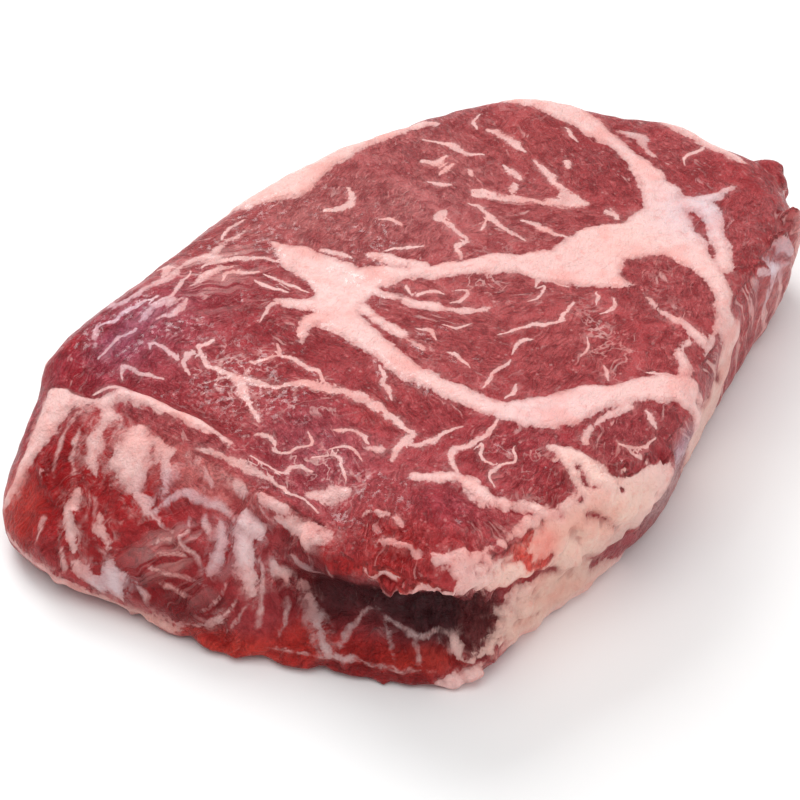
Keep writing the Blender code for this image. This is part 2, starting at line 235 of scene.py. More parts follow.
# The fat seams between the muscles, as lines of (x, y, half-width) in mm on the upper face.
# They run down through the whole thickness, drifting a little on the way.
FAT_SEAMS = {
    "stem": [(-8, 44, 0.6), (-8.5, 41, 2.2), (-9, 36, 4.4), (-8.5, 30, 5), (-9, 25, 6), (-10, 20, 6.5)],
    "stem foot": [(-10, 20, 6.5), (-5, 19, 4.5), (0, 14.5, 2.6)],
    "left arm": [(-14, 20, 5.5), (-20, 16, 5), (-21.5, 10, 4.2), (-22.7, 4, 3.4), (-24, -2, 2.8),
                 (-25.3, -9, 3), (-26, -16, 2.6), (-25.3, -22, 2.8), (-25, -30, 2.5), (-24.5, -34, 3)],
    "left spur": [(-24, 30, 0.7), (-22.8, 27, 1.8), (-20.5, 23, 2.4), (-18, 20, 3)],
    "left twig": [(-32, 15.5, 0.5), (-28.5, 18.2, 1.1), (-24, 19, 2.2), (-20, 17, 3)],
    "inner tongue": [(-14, 14, 1.2), (-15.5, 9, 1.4), (-16, 4, 1.4), (-17, -1, 1), (-18, -7, 0.5)],
    "centre twig": [(-8, 17, 1.6), (-7.5, 11, 1.2), (-6, 5, 1.5), (-4, -1, 1.2), (-2.5, -5, 1),
                    (0, -8.5, 0.7), (3, -10.3, 0.4)],
    "diagonal": [(-2, 17, 3), (1, 13, 2.2), (5, 8.3, 2.4), (10, 4.5, 2.7), (15, 1, 3.3),
                 (20, -4.5, 3.8), (24, -10, 5.5)],
    "eye tongue": [(2, 24, 0.7), (3, 20, 1.8), (4, 15, 1.6), (6, 11, 1.6)],
    "patch": [(24, -10, 5.5), (28, -16, 6), (31, -16, 8.5), (38, -15, 7), (46, -20.5, 7),
              (53, -22, 7.5), (58, -20, 5), (64, -15, 4.6)],
    "patch toe": [(28, -18, 5), (29.3, -24, 2.5), (29.6, -29, 0.5)],
    "end seam": [(64, -15, 4.8), (67.7, -10, 3.3), (70.6, -5, 2.6), (72.6, 0, 2.1), (74.8, 5, 2.4),
                 (76.8, 10, 2.8), (78.5, 16, 4), (79, 22, 5), (78, 30, 5), (76, 38, 4)],
    "patch heel": [(53, -22, 7.5), (50, -29, 6), (47, -35, 4.2), (44.5, -41, 2.8), (40, -47, 2.2),
                   (35, -51, 2)],
    "near rim": [(35, -51, 2), (29, -54, 2.5), (23, -56, 2.6), (16, -61, 1.8), (10, -63, 3)],
    "sinew": [(28, -35, 0.5), (26, -38, 0.7), (24.8, -42, 1.2), (24.3, -47, 1.2), (23, -52, 2)],
    "low band": [(-24.5, -34, 3), (-21, -39, 5), (-15.5, -43, 5.2), (-10, -44.5, 4.2), (-5, -48, 3.2),
                 (0, -52, 3.5), (4.5, -56, 4.6), (8, -60, 4.6)],
    "wedge twig": [(12, -55, 1.5), (15, -51.5, 0.9), (18, -50.3, 0.6), (21.5, -51, 0.7)],
    "island twig": [(-22, -52, 0.8), (-17, -50, 0.5), (-12, -50.8, 0.7), (-7, -52.5, 1)],
    "flap finger": [(-28, -48.5, 1.4), (-28, -52, 3), (-28.8, -57, 3.8), (-30, -62, 5), (-32, -67, 6)],
    "flap": [(-66, -57, 1.6), (-61, -56, 3.4), (-54, -60.5, 4), (-47, -60, 5.5), (-40, -62, 5),
             (-32, -66, 6)],
    "torn flap": [(-66.5, -47.5, 0.8), (-64.5, -52, 2.2), (-59, -56, 3.4), (-53, -58, 4.4),
                  (-46, -59, 4.5)],
    "rim scrap": [(-74, -22, 1.2), (-73.5, -26, 1.6), (-72, -30, 0.9)],
    "rim scrap b": [(-70.5, -36, 0.2), (-69, -40, 0.4), (-68, -44, 0.3)],
    "rim scrap c": [(-66, -30, 0.2), (-64, -34, 0.7), (-65, -38, 0.2)],
    "rim line": [(-47, 58, 0.4), (-49, 55.5, 0.7), (-45, 54, 0.7), (-40, 54, 0.9), (-35, 53, 0.8),
                 (-28, 54, 0.7), (-24, 53.7, 0.9), (-20, 52, 0.8), (-14, 53, 0.5), (-9, 52, 0.6),
                 (-6, 51, 0.2)],
    "rim tongue": [(-33, 47, 0.2), (-28, 47.6, 1.2), (-23, 46.8, 1.0), (-19.5, 44.5, 0.3)],
    "rim fleck": [(-24, 50.5, 0.2), (-20, 50, 0.8), (-16.5, 48, 0.3)],
    "lilac film": [(-36, 45, 0.2), (-41, 46.5, 0.8), (-45, 48, 0.8), (-50, 46.8, 0.3)],
    "lilac film b": [(-61, 50, 0.2), (-58.5, 52, 0.6), (-54, 54.5, 0.2)],
    "cap": [(1, 60, 3), (6, 58, 4), (12, 56, 6.2), (20, 57, 4.8), (30, 55.5, 3.8), (38, 52.5, 1.8),
            (46, 49.5, 1.2), (52, 47, 1.3), (54, 44.5, 0.8)],
    "end strip": [(93, 1, 2.8), (91.5, -5, 2.3), (90, -10, 2.1), (88.5, -15, 1.8), (87.5, -20, 1.6),
                  (87, -24, 0.8)],
    "end fleck": [(81.5, 10, 0.4), (81.5, 5, 1.4), (81.5, 2, 1.2), (78, -1, 1.1), (76, -5, 0.5)],
    "end sinew": [(64, -20, 2), (66, -23, 2.2), (71, -26, 1.6), (76, -27, 0.8)],
    "end film": [(64, -22, 2.8), (66, -26, 2.8), (63, -30, 2.6), (58, -34, 2), (54, -38, 2),
                 (48, -42, 2)],
    "lip fat": [(-76, 41, 2), (-71.5, 38.5, 1.8), (-68, 35, 1.8), (-66.5, 29, 2), (-66, 20, 1.8),
                (-66, 11, 1.4), (-67, 6, 0.7)],
    "low arm": [(-52, -31.5, 1.6), (-49, -35, 1.6), (-47, -38, 1.4), (-47, -42, 1.9), (-48, -47, 1.7),
                (-46, -51, 1.4), (-43, -54, 1.4), (-42, -57, 2)],
    "white fleck": [(-51, -18.5, 1), (-49.5, -20, 1.3)],
    "pale fleck": [(-67, -16, 1.6), (-65, -19, 1.8), (-63, -22, 1.2)],
}

# Red meat that shows through the fat of the flap.
FLAP_STAINS = {
    "stain": [(-52.5, -56, 0.7), (-49.5, -59.5, 1.5), (-47.5, -62, 1)],
    "stain b": [(-59, -53.5, 0.3), (-56, -55, 0.7), (-54.5, -58, 0.4)],
    "slit": [(-41, -58.5, 0.3), (-37, -60.5, 0.7), (-34.5, -60, 0.3)],
    "slit b": [(-44, -62.5, 0.3), (-40, -64, 0.6), (-36.5, -64.5, 0.3)],
    "slit c": [(-29.5, -55, 0.2), (-31.5, -58.5, 0.4), (-31, -61, 0.2)],
}

# Thin veins of marbling, as lines of (x, y) in mm, each with its half-width.
VEINS = [
    # left group of muscles
    (0.65, [(-49, 32), (-49.6, 26), (-49.5, 20), (-49, 14), (-48.4, 10), (-46, 8)]),
    (1.25, [(-46, 8), (-44, 6), (-42.5, 2), (-40.5, -3), (-39.5, -8), (-40, -14), (-41, -20)]),
    (0.9, [(-41, -20), (-42, -22), (-47, -22.5), (-50, -24)]),
    (0.7, [(-45, -22), (-44, -25), (-41, -27), (-37, -27), (-34, -29)]),
    (0.75, [(-47, -37), (-44, -34), (-40, -32.5), (-37, -34), (-33, -35), (-28, -34)]),
    (1.0, [(-55, 11), (-53, 14), (-51, 17), (-50, 20)]),
    (0.6, [(-55, 11), (-56.5, 8), (-58, 6)]),
    (0.6, [(-49, 31), (-50.5, 33), (-52, 31.5), (-54, 29)]),
    (0.5, [(-49, 29), (-47, 32), (-44, 31)]),
    (0.5, [(-70, 42), (-67, 38), (-65, 35)]),
    (0.5, [(-63, 40), (-61, 41.5), (-60, 38), (-58, 33)]),
    (0.5, [(-54, 40), (-52.5, 41), (-52, 37), (-53, 33)]),
    (0.6, [(-51, -10), (-48.7, -13), (-49.5, -17)]),
    (0.45, [(-67, 0), (-66, -7), (-63, -8), (-62, -12)]),
    (0.4, [(-62, -2), (-60, -6), (-57, -8), (-55, -6)]),
    (0.4, [(-60, -11), (-57, -14), (-58, -18), (-61, -20)]),
    (0.4, [(-56, -12), (-53, -15), (-54, -19)]),
    (0.45, [(-61, 4), (-60, 1), (-61.5, -2)]),
    (0.6, [(-28, -3), (-31, -6), (-33, -9), (-35, -12)]),
    (0.5, [(-36, 18.5), (-38, 15.5), (-38, 10), (-38.5, 6), (-41, 2)]),
    (0.5, [(-44, 20), (-43, 18.5), (-38, 16)]),
    (0.5, [(-32, 27.5), (-27, 29), (-24, 29)]),
    (0.4, [(-44, -45), (-40, -42), (-36, -44), (-33, -42)]),
    (0.4, [(-40, -42), (-39, -38), (-36, -36)]),
    # upper left: lines that run along the far rim
    (0.5, [(-14, 54.5), (-10, 56), (-6, 55)]),
    (1.0, [(-31, 58), (-29.5, 56), (-34, 54.3)]),
    (0.75, [(-25, 50), (-20, 48.5), (-17, 45.5), (-14.5, 42.5), (-13, 39)]),
    (0.75, [(-46, 44.5), (-41, 43.5), (-38, 44)]),
    (0.6, [(-26, 44), (-23, 44.4), (-20.5, 42), (-18.5, 40)]),
    (0.55, [(-57, 53), (-52, 51.5), (-46, 51), (-41, 50)]),
    (0.5, [(-44, 48.5), (-39, 48), (-34, 49.5), (-29, 51)]),
    (0.45, [(-62, 47), (-57, 47.5), (-52, 46.5)]),
    (0.5, [(-21, 38), (-20.7, 34), (-19.5, 30)]),
    (0.5, [(-18, 38), (-17, 32), (-16.5, 27)]),
    # eye muscle
    (0.9, [(9, 42), (11, 40.3), (14, 39.3), (16.5, 41), (18.3, 43.4)]),
    (0.8, [(-3, 33.5), (-2, 31), (-1.5, 27)]),
    (0.7, [(14, 29.5), (14.8, 27), (14.5, 25)]),
    (1.0, [(21, 19.3), (24.5, 19.3)]),
    (0.65, [(22, 19), (21.8, 16), (20.5, 12), (20, 9.5)]),
    (0.7, [(31, 17), (31.5, 14), (30, 10), (29, 5), (28.4, -1)]),
    (0.45, [(25, 9), (28, 9.6), (31, 11)]),
    (0.7, [(13, 6.5), (15.5, 9), (19, 8.5)]),
    (0.45, [(5, 22), (8, 19), (11, 16.3)]),
    (0.5, [(32, 30), (33, 27), (34, 25)]),
    (1.1, [(38, 36), (39.5, 33), (43, 33)]),
    (0.8, [(37, 29.5), (41, 30)]),
    (0.8, [(46, 42), (47.5, 38), (48, 34), (47.5, 30), (49.5, 27)]),
    (0.5, [(58, 35), (60, 37.5), (63, 38)]),
    (1.1, [(59, 32), (59, 28), (58, 23), (56.5, 19.5)]),
    (0.9, [(48.5, 19.5), (47.5, 16.5), (46.5, 14)]),
    (0.9, [(36, 19), (37.5, 17), (38, 15)]),
    (0.9, [(42, 12.5), (43.5, 13.5)]),
    (1.0, [(34.5, 18.5), (37, 14), (40, 9), (43, 4)]),
    (1.7, [(43, 4), (46, 0), (48.5, -3)]),
    (1.0, [(54.5, 14.5), (52.5, 10.5), (50.5, 6), (49, 2)]),
    (1.6, [(49, 2), (48.5, -3)]),
    (0.8, [(34, 3), (34.3, 0), (34.5, -4), (35.5, -8)]),
    (0.6, [(69, 13), (70.5, 16), (72, 18)]),
    (0.9, [(58, 8), (59, 9)]),
    (0.9, [(50, -9), (49.8, -12)]),
    (0.5, [(41, 24), (42, 25)]),
    # central muscle
    (0.45, [(3, 0), (4, -2.5), (1, -3.3), (-1, -2)]),
    (0.55, [(-13, -2), (-12.5, -5), (-13.5, -7)]),
    (0.35, [(-9, -6), (-8, -8.5), (-5, -10)]),
    (0.5, [(16, -12.5), (18, -11.5), (20, -13), (21, -18)]),
    (0.35, [(10, -15), (14, -15.5), (17, -14)]),
    (0.5, [(-4, -18), (0, -19.5), (3, -21), (5, -23), (9, -24.5), (14, -23), (16, -22.5)]),
    (0.45, [(-7, -23), (-3, -22.5), (-1, -24)]),
    (0.45, [(-20, -25), (-15, -24), (-10, -24)]),
    (0.6, [(-20, -31), (-18, -31.3), (-16, -30)]),
    (0.35, [(7, -33), (4, -34.5), (1, -35.5)]),
    (0.5, [(17, -30), (20, -31), (23, -29)]),
    (0.35, [(19, -27), (24, -24)]),
    (0.45, [(1, -41), (-2, -44)]),
    (0.45, [(6, -49), (7, -52), (8, -54)]),
    (0.6, [(-3, 5.5), (-1, 5), (0, 2)]),
    (0.6, [(-4, 7), (-2.5, 9.5)]),
    (0.5, [(-16, -12), (-15.5, -15), (-17, -18)]),
    # near island and the small muscles by the rim
    (0.7, [(-5.5, -57), (-7, -60)]),
    (0.4, [(-18, -58), (-15, -61), (-10, -61.5)]),
    (0.35, [(-17, -60), (-17, -65)]),
    (0.5, [(78, -13), (81, -11), (84, -12.5), (87.5, -12.5)]),
    (0.5, [(-71, 33), (-71.5, 24), (-71, 14), (-70, 6), (-69, -2), (-69, -12), (-69.5, -20)]),
]

# Fat on the side wall, as lines of (bearing in degrees, height in mm, half-width in mm).
WALL_FAT = {
    "lip end": [(145.5, 29, 3), (147.5, 27, 3.4), (149, 24, 3), (150.6, 20, 1.8), (151.6, 15, 1),
                (151.8, 10, 0.6)],
    "lip rim": [(146, 30, 1.8), (152, 31.6, 1.4), (158, 32.8, 1), (165, 33.6, 0.9), (173, 34.2, 0.7)],
    "lip crest": [(160, 32.2, 0.5), (166, 32.2, 0.8), (172, 32.4, 0.8), (178, 32.2, 0.8),
                  (185, 31.8, 0.7), (191, 31.2, 0.7)],
    "swirl a": [(154, 31, 0.8), (156, 28.6, 1.3), (158.4, 26.2, 0.9), (161, 24.2, 0.4)],
    "swirl b": [(159.6, 31.4, 1.2), (162.6, 28.6, 2.7), (165, 26.4, 2.1), (167, 24.4, 0.9),
                (170, 22.6, 0.4)],
    "swirl c": [(163.5, 30.4, 0.5), (167, 30.2, 1.1), (169.4, 28.2, 0.7), (170.6, 26, 0.3)],
    "arc fall": [(184.5, 24, 1.8), (186.5, 21, 2.1), (188, 17.5, 1.3), (189, 14, 0.6)],
    "white corner": [(184.2, 26.6, 1), (185.6, 25.8, 1.8), (187.4, 25.6, 1.3)],
    "left blotch": [(160.4, 21, 0.4), (161.6, 18.6, 1.5), (162.6, 16, 1.2), (164.6, 13, 0.5)],
    "small blotch": [(165, 19.8, 0.3), (166.4, 17.6, 1.0), (168, 16, 0.4)],
    "swirl light": [(181, 24.5, 0.4), (182.6, 22, 1.1), (183.2, 19.5, 1.1), (182.6, 17.5, 0.5)],
    "swirl foot": [(186, 9.5, 0.2), (184, 7, 0.6), (181, 5.6, 0.5), (177, 5.4, 0.2)],
    "foot blotch": [(169.4, 12.6, 0.6), (170.8, 10.4, 1.9), (171.8, 8, 1.4), (172.6, 6.4, 0.6)],
    "foot pink": [(165.5, 11, 0.6), (167.5, 9.4, 1.2), (169.5, 7.6, 0.8)],
    "lip foot": [(154, 6.4, 0.7), (162, 6, 0.8), (169, 4.4, 1.2), (175, 3.2, 1.6), (180, 3.4, 1.1)],
    "V left": [(195.8, 13, 0.6), (197.2, 10.8, 0.9), (199.3, 8.2, 1.1), (201, 5.4, 0.9)],
    "hollow patch": [(191, 21, 0.5), (191.8, 18.5, 1.1), (193, 16, 0.7)],
    "hollow film": [(194.5, 24, 0.4), (196.5, 22, 1.2), (199, 21, 0.6)],
    "corner": [(217.8, 9.6, 0.6), (219.4, 7, 1), (221.5, 7.2, 0.9), (223.6, 9, 0.8), (225.6, 11, 0.8)],
    "tag": [(216.6, 1, 1.2), (218.8, 2.2, 1.7), (221.4, 4, 1.4)],
    "torn rim": [(206, 29.6, 0.6), (210, 29.4, 0.9), (214, 29.6, 1.6), (217.5, 29.8, 1.9),
                 (221, 27.6, 2.6), (224, 26, 3.4), (228, 25, 3.6), (233, 25, 3.2)],
    "lip pink": [(190, 29.4, 0.7), (193.5, 28.6, 1.4), (196.5, 29.6, 1.5), (199, 31, 0.8)],
    "corner wall": [(226, 13, 2.4), (227, 8, 3.4), (231, 3.5, 4.4), (238, 4.5, 5.5), (246, 4, 5),
                    (253, 2.5, 2.6)],
    "flap": [(234, 25.5, 6), (240, 25, 10.5), (247, 25, 11), (254, 25, 8.5), (258, 26, 5)],
    "fat wall": [(228.6, 15, 3.6), (232, 12, 5.4), (238, 9, 7), (244, 6.5, 6)],
    "near cream": [(276, 30, 4), (280, 20, 7), (288, 12, 9), (298, 14, 9), (305, 24, 6), (303, 32, 4)],
    "far cap": [(24, 22, 9), (38, 20, 13), (55, 19, 15), (75, 19, 15), (92, 20, 13), (104, 23, 8)],
    "far tail": [(104, 23, 8), (116, 27, 3.5), (128, 28, 2), (138, 28, 2.4)],
    "end drop": [(317, 32.5, 1.2), (321, 29, 0.8), (324, 26.5, 1.2), (326, 23, 1.5), (325, 20, 0.5)],
    "end cap": [(352, 28, 2), (358, 22, 4), (361, 19, 3.6)],
    "end cap b": [(-1, 19, 3.6), (4, 16, 3), (10, 10, 1)],
}

# Thin sinews and streaks on the side wall, in the same terms, their half-widths first.
WALL_VEINS = [
    # the bluish arc over the swirl, and the line that falls from its corner
    (0.65, [(168, 19.6), (168.8, 21.4), (170.6, 22.4), (171.8, 23.8), (172.8, 25.8), (174.4, 26.8),
            (176.8, 26.4), (178.6, 27), (181.4, 26.2), (183.4, 25.2), (185, 25.6)]),
    (0.55, [(188.2, 24), (189, 21.4), (189.6, 18), (189.8, 14.4), (190.3, 10.6), (190.6, 8)]),
    # the swirl
    (0.5, [(169.6, 20.2), (171.4, 21.8), (174, 22), (176.6, 21)]),
    (0.5, [(172, 16.6), (173.6, 18.6), (176, 20.2), (178.6, 20)]),
    (0.45, [(172.8, 15.4), (175.4, 17.4), (178, 18.6), (180, 18)]),
    (0.5, [(175.6, 24.8), (177, 23), (178.2, 20.8), (180.2, 18.8), (182, 17.2)]),
    (0.45, [(177.8, 26), (178.8, 24), (180.8, 22.4), (181.6, 20.2)]),
    (0.4, [(173.6, 14.2), (177, 14.8), (180.4, 15.4), (183.6, 14.4)]),
    (0.35, [(175.4, 12.6), (179, 12.6), (182.6, 12.4)]),
    (0.4, [(182.4, 24), (183, 21.4), (183, 18.2), (182.2, 15.6)]),
    (0.4, [(185.6, 17), (184.8, 13), (183, 9.4)]),
    (0.4, [(187.4, 14.6), (186.4, 10.6), (184.6, 7)]),
    (0.35, [(188.6, 12.6), (188, 9.2), (186.6, 6)]),
    # streaks on the lip's left part
    (0.5, [(150.6, 30.4), (152, 27.4), (154, 23.6), (156.4, 20.8)]),
    (0.4, [(152.6, 29.8), (154.6, 26.4), (157, 23.4), (160, 21.2)]),
    (0.35, [(156.6, 31), (158.2, 29.6), (159.4, 27.4)]),
    (0.35, [(157.8, 31.2), (159.8, 29.4), (160.2, 27)]),
    (0.35, [(163, 21.6), (164.4, 19.6), (165.4, 17.2)]),
    (0.35, [(167, 28.8), (169, 28.2), (170.8, 28.8), (172, 28)]),
    (0.5, [(173.6, 31), (175, 29.8), (176.4, 29.4), (177.6, 28.2)]),
    (0.8, [(180, 31), (181.8, 30.2), (183, 29.2)]),
    (0.5, [(186, 30.4), (188, 29), (189.4, 27.8)]),
    (0.4, [(158.6, 16), (159.6, 13), (159.8, 10)]),
    (0.4, [(162.6, 13), (164.4, 10.4), (165, 8)]),
    (0.4, [(173.4, 11.4), (175.4, 9.6), (176.2, 7)]),
    # membranes of the hollow
    (0.4, [(196.4, 29), (197.4, 25), (197, 20), (196, 16.6)]),
    (0.3, [(200, 28), (200.6, 24), (200, 19)]),
    (0.9, [(194.6, 15.8), (195.4, 14.6)]),
    (0.6, [(201, 5.4), (202.4, 7.6), (203.6, 10.2), (204.8, 12.8), (206.2, 14.2), (208, 13.6)]),
    (0.5, [(206.2, 14.2), (208.6, 12.6), (211, 11.2), (213.6, 10.4), (216, 11.2), (218, 9.4)]),
    (0.3, [(207.6, 12.6), (209.4, 9), (210, 6.4)]),
    (0.3, [(212.6, 10), (213.4, 7.6), (213, 5.6)]),
    (0.4, [(192.6, 12.6), (193.8, 9.4), (193.4, 6.4)]),
    (0.35, [(191, 4.8), (197, 4.4), (204, 5.4), (211, 5), (216.6, 5.2)]),
    # membranes over the muscles of the +X end
    (0.4, [(325, 20), (322.5, 15), (321, 9)]),
    (0.45, [(314, 31), (316, 24), (315, 15)]),
    (0.4, [(331, 31), (329, 25), (330, 16), (328, 9)]),
    (0.4, [(338, 30), (336, 22), (337, 12)]),
]

# Red meat that shows through the wall's fat, in the same terms.
WALL_LEAN = {
    "flap red": [(226.5, 31, 0.6), (228, 28.5, 1.2), (229.4, 25.4, 0.8)],
    "flap red b": [(229.6, 24.6, 1), (231, 22.8, 1.4), (233.2, 23.6, 0.7)],
    "flap split": [(240.5, 29, 0.3), (243, 26.6, 0.55), (246, 23, 0.45), (248, 19, 0.2)],
    "low patch": [(244, 10.5, 1), (247, 11.2, 1.7), (250, 9.5, 1)],
    "low patch b": [(250.5, 8, 1.2), (253, 7, 2.2), (258, 5.5, 1.4)],
    "red band": [(285.5, 36, 2.6), (288.5, 30, 2.4), (293, 25, 2), (298, 21, 1.4), (301, 17, 0.6)],
    "thin band": [(277, 30, 0.4), (282, 25, 0.8), (289, 19, 0.4)],
    "far strip": [(44, 33, 1), (60, 31, 1.2), (80, 32, 0.8)],
    "far low": [(30, 6, 2), (50, 4, 2.5), (72, 5, 2), (90, 6, 1.5)],
}

WALL_SCALE = 1.4  # mm along the wall for each degree of bearing
OUTSIDE_ALL = -99.0  # a depth below that of any point
VEIN_REACH = 4  # mm round a vein in which its points are looked for
LINE_REACH = 4  # the same for a soft line, in half-widths
VEIN_TAPER = (0.25, 0.95)  # half-width at a vein's ends and the swell of its middle, as shares
LINE_TAPER = (0.45, 0.55)  # the same for the strength of a soft line
LINE_WIDTH = (0.85, 1.7)  # its least reach in mm, and its reach for each mm of half-width
LINE_STRENGTH = (0.62, 0.5)  # a thin line is paler: its strength at no width, and for each mm more
ROUND_ENDS = 0.6  # how bluntly veins and lines end
CREVICE_ROUNDS = 14  # how far the skin is smoothed to find what lies in a crevice, where shade is painted


def chain_depth(points, chain):
    """Return how deep each flat point lies inside a line of tapering width, in mm."""
    best = np.full(len(points), OUTSIDE_ALL)
    for (x0, y0, w0), (x1, y1, w1) in zip(chain[:-1], chain[1:]):
        start = np.array([x0, y0])
        along = np.array([x1 - x0, y1 - y0])
        share = np.clip((points - start) @ along / (along @ along), 0, 1)
        away = np.linalg.norm(points - start - share[:, None] * along, axis=1)
        best = np.maximum(best, w0 + (w1 - w0) * share - away)
    return best


def seams_depth(points, seams):
    """Return the greatest depth inside any of several lines."""
    best = np.full(len(points), OUTSIDE_ALL)
    for chain in seams.values():
        best = np.maximum(best, chain_depth(points, chain))
    return best


def rounded(line, steps=4):
    """Return a smooth line through the corners of a rough one."""
    corners = np.array([line[0]] + list(line) + [line[-1]], float)
    smooth = []
    for p0, p1, p2, p3 in zip(corners[:-3], corners[1:-2], corners[2:-1], corners[3:]):
        for t in np.arange(steps) / steps:
            smooth.append(0.5 * (2 * p1 + (p2 - p0) * t + (2 * p0 - 5 * p1 + 4 * p2 - p3) * t ** 2
                                 + (3 * p1 - p0 - 3 * p2 + p3) * t ** 3))
    return np.array(smooth + [corners[-1]])


def nearest_vein(points, veins):
    """Return the signed offset from the nearest vein over its half-width, and the gap to it in mm."""
    gap = np.full(len(points), -OUTSIDE_ALL)
    offset = np.full(len(points), -OUTSIDE_ALL)
    for half, line in veins:
        smooth = rounded(line)
        low, high = smooth.min(axis=0) - VEIN_REACH, smooth.max(axis=0) + VEIN_REACH
        near = np.flatnonzero(((points > low) & (points < high)).all(axis=1))
        spot = points[near]
        for step, (start, end) in enumerate(zip(smooth[:-1], smooth[1:])):
            along = end - start
            length = np.linalg.norm(along)
            share = np.clip((spot - start) @ along / length ** 2, 0, 1)
            away = np.linalg.norm(spot - start - share[:, None] * along, axis=1)
            across = ((spot - start) @ np.array([-along[1], along[0]])) / length
            run = (step + share) / (len(smooth) - 1)
            bulge = np.sin(np.pi * np.clip(run, 0.04, 0.96)) ** ROUND_ENDS
            width = half * (VEIN_TAPER[0] + VEIN_TAPER[1] * bulge)
            closer = away - width < gap[near]
            gap[near] = np.where(closer, away - width, gap[near])
            offset[near] = np.where(closer, across / width, offset[near])
    return offset, gap


def soft_lines(points, lines):
    """Return a share from 0 to 1 that is 1 on the middle of a line and fades out over its width."""
    share = np.zeros(len(points))
    for half, line in lines:
        smooth = rounded(line)
        low = smooth.min(axis=0) - LINE_REACH * half
        high = smooth.max(axis=0) + LINE_REACH * half
        near = np.flatnonzero(((points > low) & (points < high)).all(axis=1))
        for step, (start, end) in enumerate(zip(smooth[:-1], smooth[1:])):
            spot = points[near]
            along = end - start
            part = np.clip((spot - start) @ along / (along @ along), 0, 1)
            away = np.linalg.norm(spot - start - part[:, None] * along, axis=1)
            run = (step + part) / (len(smooth) - 1)
            bulge = np.sin(np.pi * np.clip(run, 0.03, 0.97)) ** ROUND_ENDS
            width = max(LINE_WIDTH[0], LINE_WIDTH[1] * half)
            strength = LINE_TAPER[0] + LINE_TAPER[1] * bulge
            strength = strength * min(1.0, LINE_STRENGTH[0] + LINE_STRENGTH[1] * half)
            share[near] = np.maximum(share[near], strength * np.exp(-(away / width) ** 2))
    return share


def wall_chains(seams):
    """Turn bearings into mm along the wall."""
    return {name: [(b * WALL_SCALE, h, w) for b, h, w in chain] for name, chain in seams.items()}


def ease(low, high, values):
    """Rise smoothly from 0 at low to 1 at high."""
    share = np.clip((values - low) / (high - low), 0, 1)
    return share * share * (3 - 2 * share)


def read_points(mesh):
    """Return the mesh's points in mm and its point normals."""
    flat = np.empty(len(mesh.vertices) * 3, np.float32)
    mesh.vertices.foreach_get("co", flat)
    normals = np.empty(len(mesh.vertices) * 3, np.float32)
    mesh.vertex_normals.foreach_get("vector", normals)
    return flat.reshape(-1, 3).astype(float) / MM, normals.reshape(-1, 3).astype(float)


def swell(points, size, seed):
    """Return smooth unevenness between about -1 and 1 whose lumps are about size mm across."""
    shift = Vector((seed * 7.3, seed * 3.1, seed * 5.7))
    return np.array([noise.noise(Vector(p) / size + shift) for p in points])


def patch_share(flat, centre, reach):
    """Return a share that is 1 at a centre and fades out over a reach along each axis."""
    return np.exp(-(((flat - np.array(centre)) / np.array(reach)) ** 2).sum(axis=1))


def rough(points, layers):
    """Return unevenness in mm as the sum of layers, each with a lump size, a height and a seed."""
    return sum(swell(points, size, seed) * height for size, height, seed in layers)


def settled(mesh, places, rounds):
    """Return the places after each has moved to the middle of its neighbours a few times."""
    pairs = np.empty(len(mesh.edges) * 2, np.int32)
    mesh.edges.foreach_get("vertices", pairs)
    first, second = pairs.reshape(-1, 2).T
    count = np.bincount(first, minlength=len(places)) + np.bincount(second, minlength=len(places))
    for _ in range(rounds):
        total = np.stack(
            [np.bincount(first, places[second, k], len(places))
             + np.bincount(second, places[first, k], len(places)) for k in range(3)], axis=1
        )
        places = (places + total / count[:, None]) / 2
    return places


# Which paint shows where: that of the upper face, with its drifting seams, or that of the wall.
THICKNESS = 35  # mm
SEAM_DRIFT = (3.0, 3.5)  # how far the seams wander on their way down, in mm
DRIFT_LENGTH = (17, 21)
LIP_TOP_X = (-69.8, -72.4)  # beyond these the sloping top of the lip muscle counts as wall
LIP_TOP_Y = (-34, -22)
HOLLOW_TOP = (27, 23)  # the floor of the hollow lies below these heights and counts as wall
TORN_CORNER = (-60, -48)
TORN_REACH = (17, 15)
WALL_GAP = 3  # pushes the upper face's veins off the wall, in mm

points, normals = read_points(body.data)
facing_up = ease(0.40, 0.75, normals[:, 2])
facing_down = ease(0.6, 0.9, -normals[:, 2]) * ease(1.5, 0.5, points[:, 2])
around = np.degrees(np.arctan2(points[:, 1], points[:, 0])) % 360
wall = np.stack([around * WALL_SCALE, points[:, 2]], axis=1)
depth_share = 1 - points[:, 2] / THICKNESS
drift = np.stack(
    [SEAM_DRIFT[0] * depth_share * np.sin(points[:, 1] / DRIFT_LENGTH[0]),
     SEAM_DRIFT[1] * depth_share * np.cos(points[:, 0] / DRIFT_LENGTH[1])], axis=1
)
plan = points[:, :2] + drift * (1 - facing_up[:, None])
side = (1 - facing_up) * (1 - facing_down)
over_lip = ease(*LIP_TOP_X, points[:, 0]) * ease(*LIP_TOP_Y, points[:, 1])
over_lip = over_lip * ease(0.2, 1.2, points[:, 2])
low_wall = ease(*HOLLOW_TOP, points[:, 2]) * (1 - facing_down)
side = np.maximum(np.maximum(side, over_lip), low_wall)

